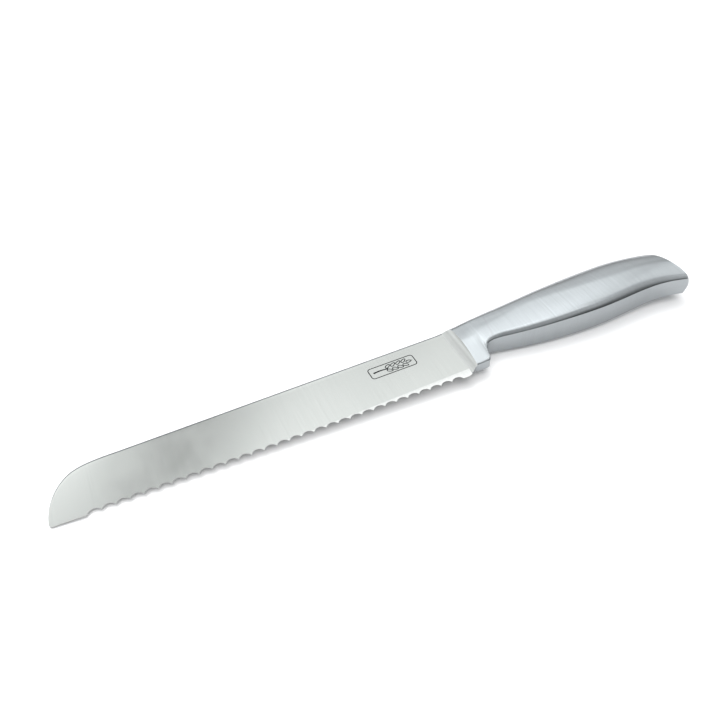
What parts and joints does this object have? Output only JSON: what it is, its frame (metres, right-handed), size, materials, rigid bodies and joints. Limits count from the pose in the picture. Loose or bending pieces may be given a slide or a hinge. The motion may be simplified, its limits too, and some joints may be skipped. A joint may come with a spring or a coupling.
{
  "type": "bread knife",
  "caption": "All-metal bread knife: tall serrated blade with a blunt, down-curved tip, concave-ground bolster with a finger notch, and a hollow contoured handle in brushed stainless steel.",
  "frame": {"origin": "centre of the knife's overall box, on the mid-plane of the blade and handle", "axes": "+X from the tip towards the butt of the handle, +Y from the cutting edge towards the spine, +Z out of the left-hand side of the blade (the side that carries the narrow bevel; the scallops are ground from the other side)"},
  "size_m": [0.3448, 0.0423, 0.017],
  "materials": {
    "blade_steel": "satin, ground from spine to edge",
    "handle_steel": "satin, brushed across the handle",
    "weld_steel": "ground flush with the handle; dull as welded inside"
  },
  "bodies": {
    "root": {"blade": "blade_steel", "bolster": "handle_steel", "handle_shell_left": "handle_steel", "handle_shell_right": "handle_steel", "seam_weld": "weld_steel", "joint_weld": "weld_steel", "tang_weld": "weld_steel"}
  },
  "joints": []
}
